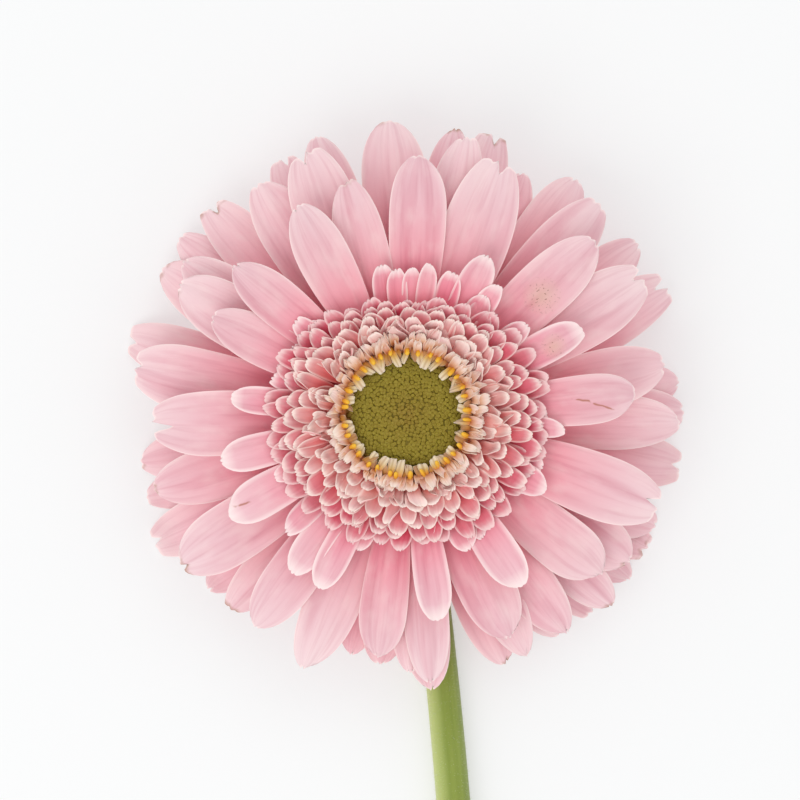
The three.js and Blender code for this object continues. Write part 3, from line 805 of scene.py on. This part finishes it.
class Nodes:
    """A material's node tree, with short calls for the nodes that the flower's materials share."""

    def __init__(self, name):
        self.material = bpy.data.materials.new(name)
        self.material.use_nodes = True
        self.tree = self.material.node_tree
        self.shader = self.tree.nodes["Principled BSDF"]

    def fill(self, node, inputs):
        """Links or sets each of the inputs, which are given by name or number."""
        for key, value in inputs.items():
            if isinstance(value, bpy.types.NodeSocket):
                self.tree.links.new(value, node.inputs[key])
            else:
                node.inputs[key].default_value = value

    def make(self, kind, inputs, **settings):
        node = self.tree.nodes.new(kind)
        for key, value in settings.items():
            setattr(node, key, value)
        self.fill(node, inputs)
        return node

    def value(self, name):
        return self.make("ShaderNodeAttribute", {}, attribute_name=name).outputs["Fac"]

    def math(self, operation, a, b=0.0):
        return self.make("ShaderNodeMath", {0: a, 1: b}, operation=operation).outputs[0]

    def times(self, a, b):
        return self.math("MULTIPLY", a, b)

    def mix(self, share, a, b, blend="MIX"):
        node = self.make("ShaderNodeMix", {0: share}, data_type="RGBA", blend_type=blend)
        colors = [key for key, socket in enumerate(node.inputs) if socket.type == "RGBA"]
        self.fill(node, {colors[0]: a, colors[1]: b})
        return next(socket for socket in node.outputs if socket.type == "RGBA")

    def ramp(self, share, stops):
        """stops lists [position, (red, green, blue)] with colours from 0 to 255."""
        node = self.make("ShaderNodeValToRGB", {"Fac": share})
        elements = node.color_ramp.elements
        while len(elements) < len(stops):
            elements.new(0.5)
        for element, (position, color) in zip(elements, stops):
            element.position = position
            element.color = linear(*color)
        return node.outputs["Color"]

    def range(self, value, low, high, start=0.0, end=1.0):
        return self.make("ShaderNodeMapRange", {
            "Value": value, "From Min": low, "From Max": high, "To Min": start, "To Max": end,
        }).outputs["Result"]

    def noise(self, vector, scale, detail=3.0, roughness=0.5):
        return self.make("ShaderNodeTexNoise", {
            "Vector": vector, "Scale": scale, "Detail": detail, "Roughness": roughness,
        }).outputs["Fac"]

    def combine(self, x, y, z):
        return self.make("ShaderNodeCombineXYZ", {"X": x, "Y": y, "Z": z}).outputs["Vector"]

    def place(self):
        return self.make("ShaderNodeTexCoord", {}).outputs["Object"]

    def bump(self, height, strength, distance):
        inputs = {"Height": height, "Strength": strength, "Distance": distance * MM}
        node = self.make("ShaderNodeBump", inputs)
        self.fill(self.shader, {"Normal": node.outputs["Normal"]})

    def finish(self, color, roughness, scatter=None, sheen=0.0):
        """scatter lists how much light enters the tissue, how far each colour goes and its scale."""
        self.fill(self.shader, {
            "Base Color": color, "Roughness": roughness, "Specular IOR Level": GLOSS, "Sheen Weight": sheen,
        })
        if scatter:
            weight, radius, scale = scatter
            self.fill(self.shader, {
                "Subsurface Weight": weight, "Subsurface Radius": radius, "Subsurface Scale": scale * MM,
            })
        return self.material


def petal_tissue(n, base, rim_color, under_color, vein_scale, rim_strengths, edge_pale=0.12):
    """Petal tissue over a base colour: broad soft bands, partly the petal's own streaks and partly painted
    shade and sheen along its lengthwise folds, fine veins that run to the tip, a tone of its own for each
    petal, an under face of its own colour and a rim that pales toward the tip, less so underneath.
    rim_strengths tells how pale it is near the root and at the tip."""
    across = n.value("across")
    reach = n.value("reach")
    tone = n.value("tone")
    own = n.times(tone, 37.0)
    bands = n.noise(n.combine(n.times(across, 1.5), n.times(reach, 0.035), own), 1.0, 2.0)
    veins = n.noise(n.combine(n.times(across, vein_scale), n.times(reach, 0.06), own), 1.0, 3.0, 0.55)
    mottle = n.noise(n.combine(n.times(n.value("side"), 0.35), n.times(reach, 0.16), own), 1.0, 3.0)
    edge = n.times(n.times(across, across), edge_pale)
    color = n.mix(edge, base, rim_color)
    band_and_fold_shade_tint = n.ramp(bands, [(0.32, (238, 208, 216)), (0.5, (252, 247, 248)), (0.68, (255, 255, 253))])
    vein_tint = n.ramp(veins, [(0.34, (234, 208, 216)), (0.5, (252, 248, 249)), (0.66, (255, 255, 255))])
    # Painted shade and sheen: the broad bands darken and lighten the petal along its lengthwise folds, on top
    # of its own streaks.
    color = n.mix(0.7, color, band_and_fold_shade_tint, "MULTIPLY")
    color = n.mix(0.45, color, vein_tint, "MULTIPLY")
    color = n.mix(n.times(n.range(mottle, 0.5, 0.8), 0.3), color, linear(248, 226, 222))
    color = n.mix(n.range(tone, -1, 1, 0.0, 0.16), color, linear(248, 230, 228))
    under = n.value("under")
    color = n.mix(n.times(under, 0.45), color, under_color)
    outward = n.range(n.value("along"), 0.4, 0.9, *rim_strengths)
    upper_rim = n.times(n.value("rim"), n.range(under, 0, 1, 1.0, 0.25))
    color = n.mix(n.times(upper_rim, outward), color, rim_color)
    n.bump(veins, 0.4, 0.12)
    return color


def by_reach(n, low, high, stops):
    shares = [((reach - low) / (high - low), color) for reach, color in stops]
    return n.ramp(n.range(n.value("reach"), low, high), shares)


def tip_browning(n, color):
    """Dry brown edges at the tips of some petals."""
    patchy = n.noise(n.place(), 420.0, 2.0)
    at_tip = n.range(n.value("along"), 0.975, 1.0)
    some = n.range(n.value("pick"), 0.62, 0.7)
    share = n.times(n.times(at_tip, some), n.range(patchy, 0.47, 0.6))
    return n.mix(n.times(share, 0.8), color, linear(168, 112, 84))


def speckles(n, color, reach_at, side_at, spread):
    """A bruised patch with small brown specks at one place on the petal that has it."""
    gone = n.math("SUBTRACT", n.value("reach"), reach_at)
    aside = n.math("SUBTRACT", n.value("side"), side_at)
    away = n.math("SQRT", n.math("ADD", n.times(gone, gone), n.times(aside, aside)))
    patch = n.times(n.range(away, spread, 0.3), n.value("speckled"))
    color = n.mix(n.times(patch, 0.5), color, linear(218, 186, 160))
    dots = n.range(n.noise(n.place(), 2400.0, 1.0), 0.62, 0.68)
    return n.mix(n.times(n.times(dots, patch), 0.85), color, linear(140, 84, 70))


def crease(n, color, start, end, slope, side_at):
    """A thin broken brown crease across the petal that has it."""
    reach = n.value("reach")
    line = n.math("ADD", n.times(n.math("SUBTRACT", reach, start), slope), side_at)
    wobble = n.times(n.math("SUBTRACT", n.noise(n.place(), 300.0, 2.0), 0.5), 1.4)
    gap = n.math("ABSOLUTE", n.math("SUBTRACT", n.math("ADD", n.value("side"), wobble), line))
    inside = n.times(n.range(reach, start, start + 1), n.range(reach, end, end - 1))
    broken = n.range(n.noise(n.place(), 700.0, 1.0), 0.42, 0.52)
    share = n.times(n.times(n.range(gap, 0.28, 0.05), inside), n.times(broken, n.value("creased")))
    return n.mix(n.times(share, 0.8), color, linear(172, 104, 74))


def ray_material():
    n = Nodes("ray_petal")
    # Deep pink toward the ring: partly the petal's own colour, partly painted shade kept red in the crevices
    # round the head.
    base = by_reach(n, 12, 58, [
        (14, (250, 82, 114)), (21, (246, 116, 139)), (27, (239, 149, 164)), (34, (233, 175, 184)),
        (44, (232, 196, 202)), (57, (240, 222, 224)),
    ])
    # Painted shade: petals in the lower layers are painted a deeper, more saturated pink, standing in for the
    # shaded gaps between petals.
    deep = by_reach(n, 12, 58, [
        (14, (255, 72, 106)), (28, (252, 106, 132)), (40, (246, 160, 175)), (57, (245, 213, 217)),
    ])
    base = n.mix(n.times(n.value("depth"), 0.8), base, deep)
    color = petal_tissue(n, base, linear(255, 236, 232), linear(246, 182, 192), 6.0, (0.35, 0.8))
    color = tip_browning(n, color)
    color = speckles(n, color, 35.0, 0.8, 4.2)
    color = crease(n, color, 31.0, 40.5, 0.36, -1.1)
    return n.finish(color, **PETAL_FINISH)


def inner_ray_material():
    n = Nodes("inner_ray_petal")
    # Deep pink toward the ring: partly the petal's own colour, partly painted shade among the short florets.
    base = by_reach(n, 12, 44, [
        (14, (250, 78, 108)), (21, (244, 104, 128)), (26, (238, 138, 156)), (32, (236, 174, 185)),
        (41, (238, 202, 209)),
    ])
    color = petal_tissue(n, base, linear(253, 234, 231), linear(246, 182, 192), 5.0, (0.3, 0.85), 0.1)
    color = speckles(n, color, 31.5, 0.6, 3.0)
    color = crease(n, color, 35.0, 39.0, 0.3, 0.3)
    return n.finish(color, **PETAL_FINISH)


def trans_material():
    n = Nodes("trans_petal")
    along = n.value("along")
    # From a dark, saturated root to a lighter tip: partly the florets' own colour, partly painted shade deep
    # in the ring and painted light on the tips.
    outer = n.ramp(along, [
        (0.3, (242, 42, 76)), (0.62, (228, 58, 88)), (0.85, (218, 88, 110)), (1.0, (224, 140, 152)),
    ])
    inner = n.ramp(along, [
        (0.2, (238, 100, 78)), (0.5, (232, 132, 120)), (0.8, (232, 180, 170)), (1.0, (244, 222, 212)),
    ])
    ring = n.value("ring")
    base = n.mix(n.range(ring, 26.0, 20.0), outer, inner)
    # The pale florets are painted nearly white: partly their own cream colour, partly painted light on their
    # lit faces.
    base = n.mix(n.times(n.value("pale"), n.range(along, 0.35, 0.8)), base, linear(255, 236, 230))
    rim = n.mix(n.range(ring, 29.0, 24.0), linear(242, 204, 204), linear(250, 230, 220))
    color = petal_tissue(n, base, rim, linear(248, 166, 172), 4.0, (0.2, 1.0))
    return n.finish(color, **PETAL_FINISH)


def lip_material():
    n = Nodes("disc_lip")
    along = n.value("along")
    # Straps and lips run dark golden-brown at the root: partly their own colour, partly painted shade deep
    # among the florets.
    strap = n.ramp(along, [
        (0.0, (164, 84, 8)), (0.35, (222, 142, 18)), (0.55, (214, 168, 74)), (0.75, (222, 200, 152)),
        (1.0, (238, 226, 200)),
    ])
    # Painted shade: darker stripes across the strap where its pleats fold.
    painted_pleat_shade = n.range(n.math("COSINE", n.times(n.value("across"), 6.3)), -1, 1, 0.0, 0.5)
    strap = n.mix(n.times(painted_pleat_shade, n.range(along, 0.3, 0.6)), strap, linear(176, 134, 68))
    # Painted shade: the straps at the back are painted a darker golden-brown, for the shade between the
    # straps.
    strap = n.mix(n.times(n.value("back"), 0.75), strap, linear(172, 106, 24))
    lip = n.ramp(along, [
        (0.1, (160, 70, 8)), (0.4, (196, 118, 46)), (0.6, (222, 170, 130)), (0.8, (240, 212, 194)),
        (1.0, (242, 230, 214)),
    ])
    base = n.mix(n.value("ring"), strap, lip)
    under = n.mix(n.value("ring"), strap, linear(226, 172, 136))
    color = petal_tissue(n, base, linear(248, 236, 216), under, 3.0, (0.3, 1.0))
    return n.finish(color, 0.55, sheen=0.08)


def anther_material():
    n = Nodes("anther")
    speckle = n.noise(n.place(), 1800.0, 2.0)
    base = n.ramp(n.value("along"), [(0.0, (190, 108, 22)), (0.5, (228, 156, 26)), (1.0, (240, 188, 56))])
    color = n.mix(n.times(speckle, 0.25), base, linear(252, 204, 96))
    n.bump(speckle, 0.4, 0.1)
    return n.finish(color, 0.65, (0.15, (1.0, 0.6, 0.2), 0.6))


def bud_material():
    n = Nodes("disc_bud")
    base = n.ramp(n.range(n.value("reach"), 0, BUD_REACH), [
        (0.0, (132, 104, 32)), (0.3, (132, 112, 28)), (0.75, (136, 120, 30)), (0.92, (138, 120, 32)),
        (1.0, (142, 104, 34)),
    ])
    color = n.mix(n.range(n.value("tone"), -1, 1, 0.0, 0.22), base, linear(164, 148, 50))
    # Painted shade: each bud's sides are darkened where they go down between buds, painting the dark cracks
    # between them.
    depth = n.ramp(n.value("along"), [
        (0.8, (206, 194, 148)), (0.93, (234, 227, 206)), (0.98, (255, 253, 248)),
    ])
    color = n.mix(0.8, color, depth, "MULTIPLY")
    grain = n.noise(n.place(), 3200.0, 2.0)
    color = n.mix(n.range(grain, 0.45, 0.75, 0.0, 0.35), color, linear(176, 160, 74))
    n.bump(grain, 0.4, 0.1)
    return n.finish(color, 0.6, (0.15, LEAF_SCATTER, 0.5))


def receptacle_material():
    n = Nodes("receptacle")
    base = n.ramp(n.range(n.value("height"), -1, 12), [
        (0.1, (150, 148, 80)), (0.35, (236, 92, 112)), (0.7, (228, 108, 84)), (1.0, (190, 108, 40)),
    ])
    grain = n.noise(n.place(), 900.0, 3.0)
    color = n.mix(n.range(grain, 0.4, 0.7, 0.0, 0.3), base, linear(220, 164, 118))
    # Golden-brown toward the top of the wall and in a ring under the florets' roots: partly their own colour,
    # partly painted shade between the straps.
    color = n.mix(n.range(n.value("reach"), 12.4, 11.8), color, linear(148, 98, 34))
    color = n.mix(n.range(n.value("reach"), 11.0, 10.4), color, linear(116, 100, 30))
    n.bump(grain, 0.4, 0.2)
    return n.finish(color, 0.7, (0.1, (1.0, 0.5, 0.3), 0.5))


def bract_material():
    n = Nodes("bract")
    mottle = n.noise(n.place(), 320.0, 4.0)
    base = n.ramp(mottle, [(0.32, (96, 116, 50)), (0.55, (122, 142, 68)), (0.75, (148, 164, 92))])
    color = n.mix(n.times(n.range(n.value("along"), 0.8, 1.0), 0.55), base, linear(134, 72, 70))
    color = n.mix(n.times(n.value("rim"), 0.5), color, linear(186, 194, 138))
    color = n.mix(n.range(n.value("tone"), -1, 1, 0.0, 0.2), color, linear(160, 176, 104))
    n.bump(n.noise(n.place(), 1400.0, 2.0), 0.4, 0.15)
    return n.finish(color, 0.62, (0.12, LEAF_SCATTER, 0.6), 0.2)


def stalk_material():
    n = Nodes("stalk")
    distance = n.value("distance")
    across = n.value("across")
    skin = n.combine(n.times(n.value("around"), 3.0), n.times(distance, 0.03), n.times(across, 3.0))
    streaks = n.noise(skin, 1.0, 3.0)
    mottle = n.noise(n.place(), 140.0, 4.0)
    color = n.ramp(streaks, [(0.3, (126, 142, 56)), (0.5, (133, 148, 62)), (0.7, (142, 157, 70))])
    color = n.mix(n.range(mottle, 0.4, 0.7, 0.0, 0.22), color, linear(158, 170, 86))
    # Painted light and shade: one side of the stem is painted paler and the other darker, as its lit and
    # shaded sides.
    color = n.mix(n.range(across, 0.1, 1.0, 0.0, 0.8), color, linear(204, 214, 138))
    color = n.mix(n.range(across, -0.3, -1.0, 0.0, 0.3), color, linear(112, 134, 56))
    color = n.mix(n.range(distance, 120, 340, 0.0, 0.35), color, linear(150, 156, 92))
    flesh = n.value("flesh")
    pith = n.ramp(flesh, [(0.0, (150, 166, 82)), (0.5, (176, 190, 118)), (1.0, (214, 220, 178))])
    color = n.mix(n.range(flesh, 0.0, 0.4), color, pith)
    n.bump(n.math("ADD", streaks, n.noise(n.place(), 1100.0, 3.0)), 0.3, 0.2)
    return n.finish(color, 0.6, (0.15, LEAF_SCATTER, 0.8), 0.25)


def hair_material():
    n = Nodes("stem_hair")
    color = n.ramp(n.range(n.value("tone"), -1, 1), [(0.0, (206, 214, 168)), (1.0, (236, 240, 220))])
    return n.finish(color, 0.6, (0.1, LEAF_SCATTER, 0.4))


# Stage: floor, light and camera. Lengths are in metres here, or in millimetres times MM.

def make_floor():
    """A pale table top just under the flower. It glows a little, so it takes only faint shadows."""
    n = Nodes("floor")
    n.fill(n.shader, {
        "Base Color": linear(182, 183, 183), "Emission Color": (1.0, 1.0, 1.0, 1.0),
        "Emission Strength": 0.46, "Roughness": 0.9, "Specular IOR Level": 0.1,
    })
    half_width = 4.0
    gap = 0.00005
    corners = [(x * half_width, y * half_width, 0) for x, y in ((-1, -1), (1, -1), (1, 1), (-1, 1))]
    mesh = bpy.data.meshes.new("floor")
    mesh.from_pydata(corners, [], [(0, 1, 2, 3)])
    mesh.materials.append(n.material)
    floor = bpy.data.objects.new("floor", mesh)
    bpy.context.scene.collection.objects.link(floor)
    floor.location.z = -gap


def add_area_light(name, direction, distance, size, watts, color, target):
    data = bpy.data.lights.new(name, "AREA")
    data.shape = "DISK"
    data.size = size
    data.energy = watts
    data.color = color
    light = bpy.data.objects.new(name, data)
    light.location = target + Vector(direction).normalized() * distance
    light.rotation_euler = (target - light.location).to_track_quat("-Z", "Y").to_euler()
    bpy.context.scene.collection.objects.link(light)


def make_lights(target):
    """A soft even surround, a key light from the lower left and a fill from the far side."""
    world = bpy.data.worlds.new("studio")
    world.use_nodes = True
    surround = world.node_tree.nodes["Background"].inputs
    surround["Color"].default_value = (0.985, 0.99, 1.0, 1.0)
    surround["Strength"].default_value = 0.86
    bpy.context.scene.world = world
    add_area_light("key", (-0.7, -0.9, 1.5), 1.2, 0.9, 3.8, (1.0, 0.99, 0.97), target)
    add_area_light("fill", (0.4, 1.0, 1.4), 1.3, 0.8, 1.2, (1.0, 1.0, 1.0), target)


def make_camera(target):
    """Straight above, framed so that the head's middle stands at pixel head_at of the picture."""
    pixels_per_mm = 5.085
    image_size = 800
    head_at = (410.1, 414.5)
    distance = 1500.0
    sensor = 36.0
    data = bpy.data.cameras.new("camera")
    data.sensor_width = sensor
    data.lens = pixels_per_mm * sensor * distance / image_size
    data.clip_end = 20
    camera = bpy.data.objects.new("camera", data)
    right = (head_at[0] - image_size / 2) / pixels_per_mm
    down = (head_at[1] - image_size / 2) / pixels_per_mm
    camera.location = target + Vector((-right, down, distance)) * MM
    bpy.context.scene.collection.objects.link(camera)
    bpy.context.scene.camera = camera


def mount(piece, slot, *nodes):
    """A piece rides on the one body and may stand for CAD nodes, which are then hidden. slot is not used."""
    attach(piece, "root")
    if nodes:
        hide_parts(*nodes)


head_middle = Vector((HEAD_X, HEAD_Y, RIM_HEIGHT)) * MM
make_camera(head_middle)
make_floor()
make_lights(head_middle)
bpy.context.scene.view_settings.view_transform = "Standard"

lips, anthers = disc_florets(lip_material(), anther_material())
stem_points, stem_distances = stem_path()
mount(ray_florets(ray_material()), "ray_petal", "ray_florets")
mount(inner_rays(inner_ray_material()), "ray_petal")
mount(trans_florets(trans_material()), "trans_petal", "trans_florets")
mount(lips, "disc_floret", "disc_florets")
mount(anthers, "disc_floret")
mount(disc_buds(bud_material()), "disc_bud", "disc_buds")
mount(receptacle(receptacle_material()), "disc_bud")
mount(involucre(bract_material()), "bract", "involucre")
mount(stem(stalk_material(), stem_points, stem_distances), "stalk", "stem")
mount(stem_hairs(hair_material(), stem_points, stem_distances), "stalk")
